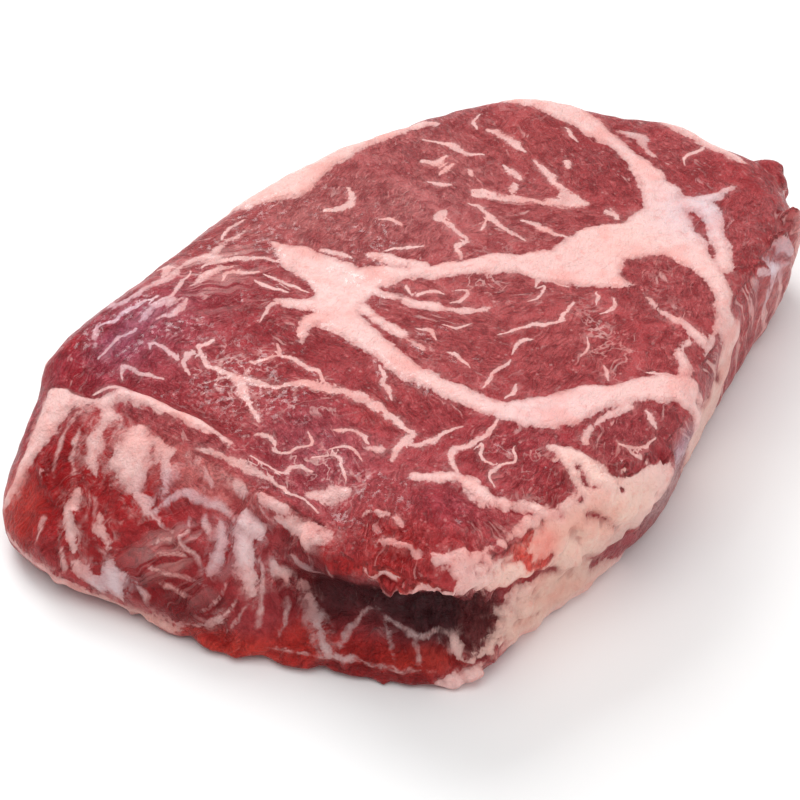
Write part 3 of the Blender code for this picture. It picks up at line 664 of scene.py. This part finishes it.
wobble = rough(points, [(5.0, 0.7, 1), (2.4, 0.55, 2)])
ragged = patch_share(points[:, :2], TORN_CORNER, TORN_REACH)
wobble = wobble + rough(points, [(1.7, 2.6, 9)]) * ragged
top_fat = seams_depth(plan, FAT_SEAMS) + wobble
top_fat = np.minimum(top_fat, -seams_depth(plan, FLAP_STAINS) + wobble)
side_fat = seams_depth(wall, wall_chains(WALL_FAT)) + wobble
side_fat = np.minimum(side_fat, -seams_depth(wall, wall_chains(WALL_LEAN)) + wobble)
fat = top_fat * (1 - side) + side_fat * side
bend = np.stack([rough(points, [(3.0, 0.9, 6)]), rough(points, [(3.0, 0.9, 7)])], axis=1)
vein, vein_gap = nearest_vein(plan + bend, VEINS)
vein_gap = vein_gap + WALL_GAP * side
wall_veins = [(half, [(b * WALL_SCALE, h) for b, h in line]) for half, line in WALL_VEINS]
sinew = soft_lines(wall + bend * 0.7, wall_veins) * side

# The relief of the skin, in mm: fat stands a little proud of the meat, veins are fine ridges,
# the torn corner is shaggy, and a crease parts the purple muscle at the rim from the middle.
FAT_RISE = 0.45
VEIN_RISE = 0.12
SINEW_RISE = 0.35
CREASE = [(-70, 44, 3), (-60, 46, 4), (-50, 44.5, 4), (-40, 42, 4), (-30, 37, 3)]
CREASE_DEPTH = 1.6

fat_rise = ease(-0.4, 1.6, fat) * FAT_RISE
vein_rise = ease(1.0, 0.0, vein_gap) * VEIN_RISE + sinew * SINEW_RISE
near_side = ease(212, 222, around) * ease(272, 262, around)
torn = side * (0.25 + 0.75 * near_side) * ease(0.2, 1.5, fat)
torn = torn * rough(points, [(4.5, 0.7, 8), (2.0, 0.25, 5)])
shaggy = ragged * rough(points, [(2.6, 0.9, 10), (1.5, 0.5, 11)])
lumpy = rough(points, [(9, 0.45, 3), (3.4, 0.25, 4)])
lumpy = lumpy - ease(-1.5, 4.0, chain_depth(plan, CREASE)) * CREASE_DEPTH * (1 - side)
off_table = ease(0.2, 3.0, points[:, 2])
lift = (lumpy * (0.6 + 0.8 * side) + fat_rise + vein_rise + torn + shaggy) * off_table
points = points + normals * lift[:, None]
points[:, 2] = np.maximum(points[:, 2], 0)
body.data.vertices.foreach_set("co", (points * MM).astype(np.float32).ravel())
body.data.update()
points, normals = read_points(body.data)
# How far each point stands out of its smoothed neighbours; where it lies in a crevice, the finish
# paints shade.
proud = ((points - settled(body.data, points, CREVICE_ROUNDS)) * normals).sum(axis=1)


# The colour of the meat by place. Each muscle has its own red, from the pale eye to the purple edge
# that the air has darkened, and each patch fades into the next. On the wall, the near-black patches
# of the hollow are mostly painted shade, and one lilac patch is a painted highlight.
LEAN_RED = (0.38, 0.050, 0.055)
LEAN_TINTS = [  # centre x, y, reach in mm, strength, colour
    (30, 32, 36, 0.8, (0.40, 0.095, 0.095)),
    (4, 40, 18, 0.6, (0.44, 0.125, 0.12)),
    (22, 22, 14, 0.5, (0.45, 0.125, 0.125)),
    (60, 22, 12, 0.5, (0.34, 0.035, 0.035)),
    (6, -10, 24, 0.7, (0.40, 0.078, 0.080)),
    (10, -30, 14, 0.4, (0.40, 0.055, 0.058)),
    (62, 0, 13, 0.6, (0.33, 0.035, 0.04)),
    (68, 8, 8, 0.7, (0.28, 0.018, 0.024)),
    (35, -38, 11, 0.5, (0.33, 0.045, 0.05)),
    (-12, -58, 13, 0.7, (0.29, 0.032, 0.04)),
    (-64, 50, 15, 0.85, (0.30, 0.015, 0.04)),
    (-48, 44, 13, 0.55, (0.36, 0.05, 0.09)),
    (-56.5, 47, 6, 0.6, (0.33, 0.09, 0.16)),
    (-46, 47.5, 5, 0.5, (0.38, 0.10, 0.16)),
    (-37, 46, 5, 0.4, (0.37, 0.07, 0.12)),
    (-56, 52.5, 3.6, 0.85, (0.26, 0.003, 0.014)),
    (-41.5, 50.5, 4, 0.7, (0.27, 0.006, 0.018)),
    (-63, 55, 4, 0.8, (0.38, 0.004, 0.010)),
    (-69, 49, 4.5, 0.8, (0.32, 0.005, 0.012)),
    (-30, 42, 9, 0.5, (0.36, 0.05, 0.075)),
    (-34, 22, 13, 0.85, (0.27, 0.010, 0.018)),
    (-44, 4, 15, 0.7, (0.30, 0.014, 0.022)),
    (-20, 40, 14, 0.6, (0.34, 0.03, 0.042)),
    (-60, 30, 12, 0.5, (0.33, 0.03, 0.045)),
    (-58, -10, 14, 0.6, (0.38, 0.08, 0.11)),
    (-36, -30, 13, 0.6, (0.32, 0.022, 0.032)),
    (-30, -46, 11, 0.7, (0.31, 0.016, 0.028)),
    (-56, -42, 9, 0.5, (0.35, 0.04, 0.07)),
    (-70, -40, 9, 0.9, (0.35, 0.008, 0.008)),
    (-64, -50, 8, 0.7, (0.42, 0.04, 0.04)),
    (-42, -12, 6, 0.6, (0.40, 0.035, 0.035)),
    (84, -22, 12, 0.6, (0.36, 0.035, 0.04)),
    (94, -18, 8, 0.7, (0.34, 0.02, 0.03)),
]
WALL_TINTS = [  # bearing, height, reach along and up in mm, strength, colour
    (160, 28, 10, 6, 0.7, (0.42, 0.07, 0.075)),
    (157, 20, 12, 12, 1.0, (0.30, 0.001, 0.003)),
    (168, 23, 12, 6, 0.9, (0.33, 0.005, 0.007)),
    (154, 12, 7, 7, 0.9, (0.50, 0.03, 0.02)),
    (176, 30, 18, 4.0, 0.8, (0.50, 0.13, 0.12)),
    (178, 17, 14, 7, 0.8, (0.32, 0.022, 0.026)),
    (168, 13, 8, 6, 0.8, (0.32, 0.010, 0.012)),
    (179, 9, 13, 6, 1.0, (0.19, 0.006, 0.009)),
    (174, 5, 10, 3, 0.7, (0.42, 0.10, 0.10)),
    (190, 3, 16, 4, 0.9, (0.48, 0.03, 0.018)),
    # the hollow: near-black reds, mostly painted shade of the recess over the meat's own dark maroon
    (196, 20, 9, 14, 0.85, (0.24, 0.022, 0.026)),
    (208, 19, 17, 8.5, 1.0, (0.060, 0.008, 0.011)),
    (216, 16, 12, 9, 1.0, (0.055, 0.010, 0.013)),
    (200, 15, 6, 6, 0.9, (0.070, 0.009, 0.012)),
    (222, 14, 4.5, 8, 0.9, (0.12, 0.022, 0.022)),
    (207, 6.4, 13, 3.0, 0.9, (0.34, 0.012, 0.008)),
    (215, 6.4, 7, 2.6, 0.7, (0.40, 0.025, 0.014)),
    (197, 6.5, 6, 3.4, 0.8, (0.42, 0.02, 0.012)),
    (208, 2.5, 16, 2.2, 0.9, (0.26, 0.010, 0.010)),
    (212, 31, 14, 3.5, 0.9, (0.55, 0.045, 0.035)),
    (202, 29.5, 5, 3, 0.9, (0.42, 0.012, 0.012)),
    (230, 26, 6, 6, 0.9, (0.85, 0.12, 0.08)),
    (252, 8, 12, 6, 0.8, (0.30, 0.035, 0.045)),
    (266, 17, 14, 11, 0.9, (0.44, 0.25, 0.24)),
    # painted highlight: a lilac gleam on the grey membrane of the near wall
    (268, 25, 8, 4, 0.7, (0.52, 0.34, 0.40)),
    (262, 33, 12, 4, 0.7, (0.40, 0.05, 0.06)),
    (315, 24, 6, 14, 0.9, (0.40, 0.02, 0.025)),
    (330, 20, 16, 16, 0.6, (0.50, 0.15, 0.14)),
    (130, 22, 26, 12, 0.7, (0.34, 0.02, 0.04)),
    (10, 18, 22, 14, 0.6, (0.42, 0.06, 0.06)),
]
FAT_PINK = (0.87, 0.535, 0.505)
FAT_TINTS = [
    (-12, 20, 14, 0.6, (0.90, 0.62, 0.59)),
    (50, -20, 16, 0.6, (0.90, 0.56, 0.51)),
    (20, 57, 22, 0.6, (0.84, 0.53, 0.48)),
    (-20, -40, 12, 0.5, (0.84, 0.58, 0.58)),
    (-30, -60, 12, 0.7, (0.90, 0.58, 0.50)),
    (-55, -60, 9, 0.7, (0.90, 0.52, 0.47)),
    (-49, -60, 4.5, 0.8, (0.88, 0.34, 0.28)),
    (-68, -40, 8, 0.8, (0.76, 0.30, 0.28)),
    (-74, -26, 6, 0.7, (0.90, 0.55, 0.54)),
    (64, -27, 12, 0.8, (0.72, 0.56, 0.60)),
    (-52, 49, 13, 0.8, (0.66, 0.44, 0.54)),
    (81, 3, 7, 0.7, (0.62, 0.42, 0.42)),
]
FAT_WALL_TINTS = [
    (240, 24, 26, 10, 0.8, (0.90, 0.60, 0.49)),
    (236, 10, 24, 8, 0.9, (0.74, 0.47, 0.38)),
    (250, 12, 12, 8, 0.7, (0.60, 0.38, 0.34)),
    (229, 25, 9, 6, 0.7, (0.95, 0.58, 0.50)),
    (232, 27, 4, 3, 0.8, (0.88, 0.34, 0.28)),
    (324, 25, 8, 9, 0.8, (0.74, 0.62, 0.70)),
    (186, 24, 8, 8, 0.6, (0.80, 0.60, 0.62)),
    (171, 9, 6, 6, 0.7, (0.66, 0.52, 0.56)),
    (174, 26, 10, 4, 0.7, (0.66, 0.50, 0.56)),
    # fat in the hollow, greyed and darkened: partly its own tone, partly painted shade of the recess
    (203, 10, 18, 7, 0.8, (0.52, 0.38, 0.38)),
    (173, 4, 14, 3, 0.8, (0.72, 0.40, 0.34)),
    (183, 19, 4, 8, 0.8, (0.66, 0.40, 0.42)),
    (182, 7, 8, 3, 0.8, (0.50, 0.22, 0.21)),
    # the film of fat in the hollow, darkened: painted shade of the recess over its own greyer tone
    (197, 22, 5, 4, 0.9, (0.34, 0.20, 0.21)),
    (290, 14, 30, 14, 0.8, (0.74, 0.47, 0.40)),
    (60, 16, 90, 22, 0.6, (0.80, 0.58, 0.48)),
]


def tinted(base, tints, wall_tints):
    """Return a colour for each point: the base with soft patches over it."""
    colour = np.tile(np.array(base), (len(points), 1))
    for x, y, reach, strength, tint in tints:
        share = (strength * patch_share(plan, (x, y), reach) * (1 - side))[:, None]
        colour = colour * (1 - share) + np.array(tint) * share
    for turn, height, along, up, strength, tint in wall_tints:
        from_turn = (around - turn + 180) % 360 - 180
        away = (from_turn * WALL_SCALE / along) ** 2 + ((wall[:, 1] - height) / up) ** 2
        share = (strength * np.exp(-away ** 2) * side)[:, None]
        colour = colour * (1 - share) + np.array(tint) * share
    return colour


def keep_number(mesh, name, values):
    """Keep one number for each point of the mesh, for its finish to read."""
    layer = mesh.attributes.new(name, "FLOAT", "POINT")
    layer.data.foreach_set("value", values.astype(np.float32))


def keep_colour(mesh, name, values):
    """Keep one colour for each point of the mesh."""
    layer = mesh.attributes.new(name, "FLOAT_COLOR", "POINT")
    rgba = np.concatenate([values, np.ones((len(values), 1))], axis=1)
    layer.data.foreach_set("color", rgba.astype(np.float32).ravel())


def keep_vector(mesh, name, values):
    """Keep one vector for each point of the mesh."""
    layer = mesh.attributes.new(name, "FLOAT_VECTOR", "POINT")
    layer.data.foreach_set("vector", values.astype(np.float32).ravel())


# How the fibres run: centre of each muscle in mm, and their direction in degrees.
GRAINS = [
    (-55, 48, 8), (-25, 45, -35), (-58, 20, 80), (-42, 10, 70), (-34, 12, 85), (-56, -12, 60),
    (-60, -36, 35), (-52, -44, 75), (-36, -44, 10), (-34, -15, 60), (-10, -10, 100), (5, -30, 12),
    (15, -12, -30), (-12, -58, 20), (34, -38, 30), (15, 35, 15), (40, 30, 65), (62, 5, 62),
    (40, 0, -50), (82, -10, 70), (82, 10, 80), (94, -18, 75), (62, -40, 20), (18, -57, 30),
]
# The same on the wall: bearing, height and direction.
WALL_GRAINS = [
    (147, 24, 70), (157, 18, 80), (165, 28, 110), (172, 28, -20), (176, 18, 40), (182, 12, 60),
    (186, 20, 80), (195, 22, 84), (205, 22, 88), (215, 20, 88), (205, 6, 20), (235, 24, 80),
    (240, 8, 20), (250, 22, 75), (262, 16, -45), (275, 20, -52), (290, 18, -52), (305, 18, -58),
    (316, 20, -72), (326, 20, -78), (336, 20, -84), (350, 18, 85), (10, 18, 80), (40, 18, 12),
    (80, 18, 5), (115, 18, 10), (135, 18, 60),
]

MUSCLE_STEP = 40  # mm between the fibre places of one muscle and the next, so that none match
WALL_LAYER = 50.0  # the same between the upper face and the wall
MUSCLE_EDGE = (1.2, 4.0)  # fibres fade out over these distances from the bounds of a muscle
FIBRE_WAVE = 1.5  # how much more the fibres bend than the veins do


def fibre_places(flat, centres):
    """Return places in mm along and across the fibres of the nearest muscle, and how far
    inside that muscle's bounds they lie, as a share."""
    nearest = np.full(len(flat), np.inf)
    second = np.full(len(flat), np.inf)
    along = np.zeros(len(flat))
    across = np.zeros(len(flat))
    for index, (x, y, degrees) in enumerate(centres):
        turn = math.radians(degrees)
        dx, dy = flat[:, 0] - x, flat[:, 1] - y
        away = np.hypot(dx, dy)
        closer = away < nearest
        second = np.where(closer, nearest, np.minimum(second, away))
        nearest = np.where(closer, away, nearest)
        along = np.where(closer, dx * math.cos(turn) + dy * math.sin(turn) + MUSCLE_STEP * index, along)
        across = np.where(closer, dy * math.cos(turn) - dx * math.sin(turn), across)
    return along, across, ease(*MUSCLE_EDGE, second - nearest)


wall_centres = [(b * WALL_SCALE, h, d) for b, h, d in WALL_GRAINS]
top_along, top_across, top_calm = fibre_places(plan + bend * FIBRE_WAVE, GRAINS)
side_along, side_across, side_calm = fibre_places(wall + bend * FIBRE_WAVE, wall_centres)
is_side = side > 0.5
clear = np.where(is_side, side_calm, top_calm) * ease(0.0, 0.4, abs(side - 0.5))
fibre = np.stack(
    [np.where(is_side, side_along, top_along), np.where(is_side, side_across, top_across),
     np.where(is_side, WALL_LAYER, 0.0)], axis=1
)

# Where the marbling is a fine web: centre x, y and reach in mm.
WEB_PLACES = [(-58, -8, 18), (-50, 25, 16), (-38, -44, 12), (-38, 5, 12), (8, -8, 18), (5, -35, 16)]
WEB_ELSEWHERE = 0.25
web = np.full(len(points), WEB_ELSEWHERE)
for x, y, reach in WEB_PLACES:
    web = np.maximum(web, patch_share(plan, (x, y), reach))
web = web * (1 - side)

# Where long pale streaks run along the fibres: at the +X end, in the fan by the stem of fat, and
# in the swirl of the lip muscle.
near_end = ease(262, 276, around) * ease(352, 340, around)
far_end = ease(20, 5, around) * 0.8
fan = patch_share(plan, (-26, 48), (20, 10)) * 0.75
swirl = patch_share(np.stack([around, points[:, 2]], axis=1), (179, 19), (8, 7)) * 0.75
streak = np.maximum(np.maximum(near_end, far_end), swirl) * side
streak = np.maximum(streak, fan * (1 - side))

mesh = body.data
keep_number(mesh, "fat", fat)
keep_number(mesh, "vein", np.clip(vein, -8, 8))
keep_number(mesh, "vein_gap", np.clip(vein_gap, -2, 6))
keep_number(mesh, "sinew", sinew)
keep_number(mesh, "clear", clear)
keep_number(mesh, "proud", np.clip(proud, -1, 1))
keep_number(mesh, "web", web)
keep_number(mesh, "streak", streak)
keep_number(mesh, "side", side)
keep_colour(mesh, "lean_colour", tinted(LEAN_RED, LEAN_TINTS, WALL_TINTS))
keep_colour(mesh, "fat_colour", tinted(FAT_PINK, FAT_TINTS, FAT_WALL_TINTS))
keep_vector(mesh, "fibre", fibre)


class Wire:
    """One output in a shader tree. Arithmetic on it adds Math nodes."""

    def __init__(self, tree, socket=None):
        self.tree = tree
        self.socket = socket

    def node(self, kind, settings, inputs, output=0):
        """Add any node: its settings first, then the values or wires of its sockets."""
        made = self.tree.nodes.new(kind)
        for name, value in settings.items():
            setattr(made, name, value)
        for name, value in inputs.items():
            if isinstance(value, Wire):
                self.tree.links.new(value.socket, made.inputs[name])
            else:
                made.inputs[name].default_value = value
        return Wire(self.tree, made.outputs[output])

    def math(self, operation, first, second=0.0):
        """Add one Math node."""
        return self.node("ShaderNodeMath", {"operation": operation}, {0: first, 1: second})

    def __add__(self, other):
        return self.math("ADD", self, other)

    def __radd__(self, other):
        return self.math("ADD", other, self)

    def __sub__(self, other):
        return self.math("SUBTRACT", self, other)

    def __rsub__(self, other):
        return self.math("SUBTRACT", other, self)

    def __mul__(self, other):
        return self.math("MULTIPLY", self, other)

    def __rmul__(self, other):
        return self.math("MULTIPLY", other, self)

    def __abs__(self):
        return self.math("ABSOLUTE", self)

    def step(self, low, high):
        """Rise smoothly from 0 at low to 1 at high."""
        return self.node(
            "ShaderNodeMapRange", {"interpolation_type": "SMOOTHSTEP"},
            {"Value": self, "From Min": low, "From Max": high},
        )

    def most(self, other):
        """Return the greater of two."""
        return self.math("MAXIMUM", self, other)

    def over(self, under, share):
        """Lay this colour over another one by a share."""
        return self.node(
            "ShaderNodeMix", {"data_type": "RGBA"}, {0: share, 6: under, 7: self}, output=2
        )

    def times(self, factor):
        """Brighten or darken this colour by a number."""
        return self.tinted(self.node("ShaderNodeCombineColor", {}, {0: factor, 1: factor, 2: factor}))

    def tinted(self, colour):
        """Multiply this colour by another one."""
        return self.node(
            "ShaderNodeMix", {"data_type": "RGBA", "blend_type": "MULTIPLY"},
            {0: 1.0, 6: self, 7: colour}, output=2,
        )

    def kept(self, name, output=2):
        """Read a number, or with output 0 a colour, kept on the mesh."""
        return self.node("ShaderNodeAttribute", {"attribute_name": name}, {}, output)

    def stretched(self, scale):
        """Scale this vector along its three axes."""
        return self.node("ShaderNodeMapping", {}, {"Vector": self, "Scale": scale})

    def cloud(self, scale, detail=2.0, rough=0.5, twist=0.0):
        """Noise read at this vector."""
        return self.node(
            "ShaderNodeTexNoise", {},
            {"Vector": self, "Scale": scale, "Detail": detail, "Roughness": rough, "Distortion": twist},
        )


# The finish of raw beef: wet red meat with fine fibres, pale marbling and waxy pink fat. Clouds
# are sized by their lumps per metre, and stretched ones run along the fibres.
BUMP_DEPTH = 1.0 * MM

flesh = bpy.data.materials.new("wet_raw_beef")
flesh.use_nodes = True
shader = flesh.node_tree.nodes["Principled BSDF"]
wire = Wire(flesh.node_tree)
here = wire.node("ShaderNodeTexCoord", {}, {}, output=3)
grain = wire.kept("fibre", output=1)

on_side = wire.kept("side")
clear = wire.kept("clear")
# how far the skin stands out; the finish paints shade where it lies in a crevice
proud = wire.kept("proud")

# Fat: its painted edge, torn by noise and by the fibres it grows between.
edge_noise = here.cloud(420.0, 3.0, 0.6) - 0.5
fine_noise = here.cloud(1500.0, 2.0, 0.6) - 0.5
shreds = (grain.stretched((0.28, 1.5, 1.0)).cloud(1.0, 2.0, 0.6, 0.4) - 0.5) * clear
fat_depth = wire.kept("fat") + edge_noise * 2.4 + fine_noise * 0.5 + shreds * 1.2
fat_mask = fat_depth.step(-0.35, 0.30)

# Veins on the upper face, sinews on the wall, and the thin veil of fat round both.
vein_line = abs(wire.kept("vein") + edge_noise * 2.0) + fine_noise * 1.4 + shreds * 0.8
vein_mask = vein_line.step(1.35, 0.45) * wire.kept("vein_gap").step(0.8, 0.2)
sinew_share = wire.kept("sinew") + edge_noise * 0.9 + shreds * 0.6
sinew_mask = sinew_share.step(0.42, 0.95) * 0.85
veil_noise = here.cloud(240.0, 4.0, 0.7, 0.8)
fat_veil = (wire.kept("fat") + edge_noise * 3.0 + shreds * 2.5).step(-2.6, 0.2)
fat_veil = fat_veil * veil_noise.step(0.42, 0.66) * (0.25 + 0.38 * on_side)
vein_veil = (wire.kept("vein_gap") + edge_noise * 2.0 + shreds).step(1.5, 0.1)
vein_veil = vein_veil * veil_noise.step(0.38, 0.62) * 0.18

# Fine marbling: flecks between the fibres, a web of hair lines, dots and long streaks.
threads = grain.stretched((0.16, 0.62, 1.0)).cloud(1.0, 3.0, 0.6, 0.5)
fleck_mask = threads.step(0.58, 0.68) * here.cloud(90.0, 1.0).step(0.40, 0.60) * clear
fleck_mask = fleck_mask * (1 - 0.6 * on_side)
ridges = abs(here.cloud(150.0, 3.0, 0.6, 0.5) - 0.5).step(0.032, 0.006)
web_mask = ridges * here.cloud(75.0, 2.0).step(0.48, 0.62) * wire.kept("web")
dots = wire.node("ShaderNodeTexVoronoi", {}, {"Vector": here, "Scale": 620.0})
dot_mask = dots.step(0.30, 0.12) * here.cloud(260.0, 1.0).step(0.46, 0.62) * (1 - on_side)
streaks = grain.stretched((0.035, 0.42, 1.0)).cloud(1.0, 3.0, 0.55, 0.3)
streak_mask = streaks.step(0.48, 0.60) * wire.kept("streak") * clear
marbling = vein_mask.most(sinew_mask).most(fleck_mask * 0.5).most(fat_veil).most(vein_veil)
marbling = marbling.most(web_mask * 0.65).most(dot_mask * 0.28).most(streak_mask * 0.7)
marbling = marbling * (0.55 + 0.75 * here.cloud(260.0, 2.0))

# Lean meat: its painted red, deeper in bruises, darkened by painted shade in its crevices,
# broken up by fibres and grain, with a painted sheen along the fibres.
fibres = 0.5 + (grain.stretched((0.45, 1.5, 1.0)).cloud(1.0, 4.0, 0.65, 0.8) - 0.5) * clear
speckle = here.cloud(1500.0, 2.0, 0.7)
mottle = here.cloud(330.0, 3.0, 0.65, 0.6)
lean = wire.kept("lean_colour", output=0)
# a darker red: in cloudy patches it is the meat's own bruised tone, in crevices it is painted shade
deep = lean.tinted((0.78, 0.42, 0.48, 1.0))
lean = deep.over(lean, here.cloud(60.0, 3.0, 0.6).step(0.46, 0.66) * 0.6)
lean = deep.over(lean, mottle.step(0.52, 0.40) * 0.7)
# painted shade: the meat darkens where the skin lies in a crevice
lean = deep.over(lean, proud.step(-0.02, -0.22) * 0.9)
grainy = 0.42 * fibres.step(0.32, 0.70) + 0.26 * speckle.step(0.32, 0.68)
grainy = grainy + 0.26 * mottle.step(0.34, 0.66)
lean = lean.times(0.60 + grainy)
# painted sheen: pale pink laid on the brightest fibres of the upper face, standing in for their wet
# highlights
fibre_sheen = fibres.step(0.50, 0.72) * mottle.step(0.44, 0.60) * (1 - on_side)
lean = wire.kept("fat_colour", output=0).over(lean, fibre_sheen * 0.16)

# Fat's own colour: its painted pink with a blush in soft patches.
fat_shade = here.cloud(300.0, 3.0, 0.6)
fat_tone = wire.kept("fat_colour", output=0)
blush = fat_tone.tinted((0.97, 0.76, 0.74, 1.0))
fat_tone = blush.over(fat_tone, here.cloud(85.0, 3.0, 0.6).step(0.46, 0.68))
fat_tone = blush.over(fat_tone, here.cloud(520.0, 3.0, 0.65).step(0.50, 0.72) * 0.8)
fat_tone = fat_tone.times(0.92 + 0.24 * fat_shade)

# The layers together, with the edge of the fat stained by the meat and painted shade darkening all
# crevices.
surface = fat_tone.over(lean, marbling * 0.88)
surface = fat_tone.over(surface, fat_mask)
surface = lean.over(surface, fat_depth.step(1.8, -0.3) * 0.4 * fat_mask)
# painted shade laid over fat and meat alike in the deeper crevices
surface = deep.over(surface, proud.step(-0.10, -0.45) * 0.40)
pale = fat_mask.most(marbling)

# The fine relief, duller fat, and a wet film that lies in patches.
grain_height = fibres * 0.8 * (1 - pale) + speckle * 0.35 + mottle * 0.7
grain_height = grain_height + pale * 0.4 + fat_shade * 0.5
bumped = wire.node(
    "ShaderNodeBump", {}, {"Strength": 1.0, "Distance": BUMP_DEPTH, "Height": grain_height}
)
roughness = 0.24 + 0.20 * fat_shade + pale * 0.14
wet = here.cloud(75.0, 2.0).step(0.35, 0.65) * 0.6 + 0.25
wet = wet * here.cloud(800.0, 3.0, 0.6).step(0.50, 0.64) * (1 - 0.6 * on_side)

for socket, value in (("Base Color", surface), ("Roughness", roughness), ("Coat Weight", wet),
                      ("Normal", bumped)):
    flesh.node_tree.links.new(value.socket, shader.inputs[socket])
shader.inputs["Coat Roughness"].default_value = 0.12
shader.inputs["Coat IOR"].default_value = 1.38
shader.inputs["Specular IOR Level"].default_value = 0.18
shader.inputs["Subsurface Weight"].default_value = 0.10
shader.inputs["Subsurface Radius"].default_value = (1.0, 0.32, 0.22)
shader.inputs["Subsurface Scale"].default_value = 0.0022

mesh.materials.append(flesh)
mesh.shade_smooth()
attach(body, "root")
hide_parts("beef_steak")


# The pale table top and the light: a white sheet, with broad soft light from above and behind.
bpy.ops.object.select_all(action="DESELECT")
bpy.ops.mesh.primitive_plane_add(size=6.0, location=(0, 0, 0))
table = bpy.context.active_object
table.name = "white_table"
sheet = bpy.data.materials.new("white_sheet")
sheet.use_nodes = True
sheet.node_tree.nodes["Principled BSDF"].inputs["Base Color"].default_value = (0.97, 0.97, 0.97, 1)
sheet.node_tree.nodes["Principled BSDF"].inputs["Roughness"].default_value = 0.6
table.data.materials.append(sheet)

EYE = Vector((-0.32285, -0.23879, 0.34139))
AIM = Vector((-0.02103, -0.00297, 0.020))
FIELD = math.radians(20.0)
lens = bpy.data.cameras.new("view")
lens.lens_unit = "FOV"
lens.angle = FIELD
lens.clip_start = 0.01
camera = bpy.data.objects.new("view", lens)
bpy.context.scene.collection.objects.link(camera)
camera.location = EYE
camera.rotation_euler = (AIM - EYE).to_track_quat("-Z", "Y").to_euler()
bpy.context.scene.camera = camera

LAMPS = [  # name, place, size, watts
    ("window", (0.35, 0.75, 0.75), 0.6, 7.0),
    ("overhead", (-0.25, -0.10, 1.20), 1.2, 7.5),
    ("bounce", (0.25, -1.00, 0.45), 1.0, 2.4),
]
for name, place, size, watts in LAMPS:
    lamp = bpy.data.lights.new(name, "AREA")
    lamp.size = size
    lamp.energy = watts
    holder = bpy.data.objects.new(name, lamp)
    bpy.context.scene.collection.objects.link(holder)
    holder.location = place
    holder.rotation_euler = (-Vector(place)).to_track_quat("-Z", "Y").to_euler()

world = bpy.data.worlds.new("bright_room")
world.use_nodes = True
world.node_tree.nodes["Background"].inputs["Color"].default_value = (1, 1, 1, 1)
world.node_tree.nodes["Background"].inputs["Strength"].default_value = 0.42
bpy.context.scene.world = world
bpy.context.scene.view_settings.view_transform = "Standard"
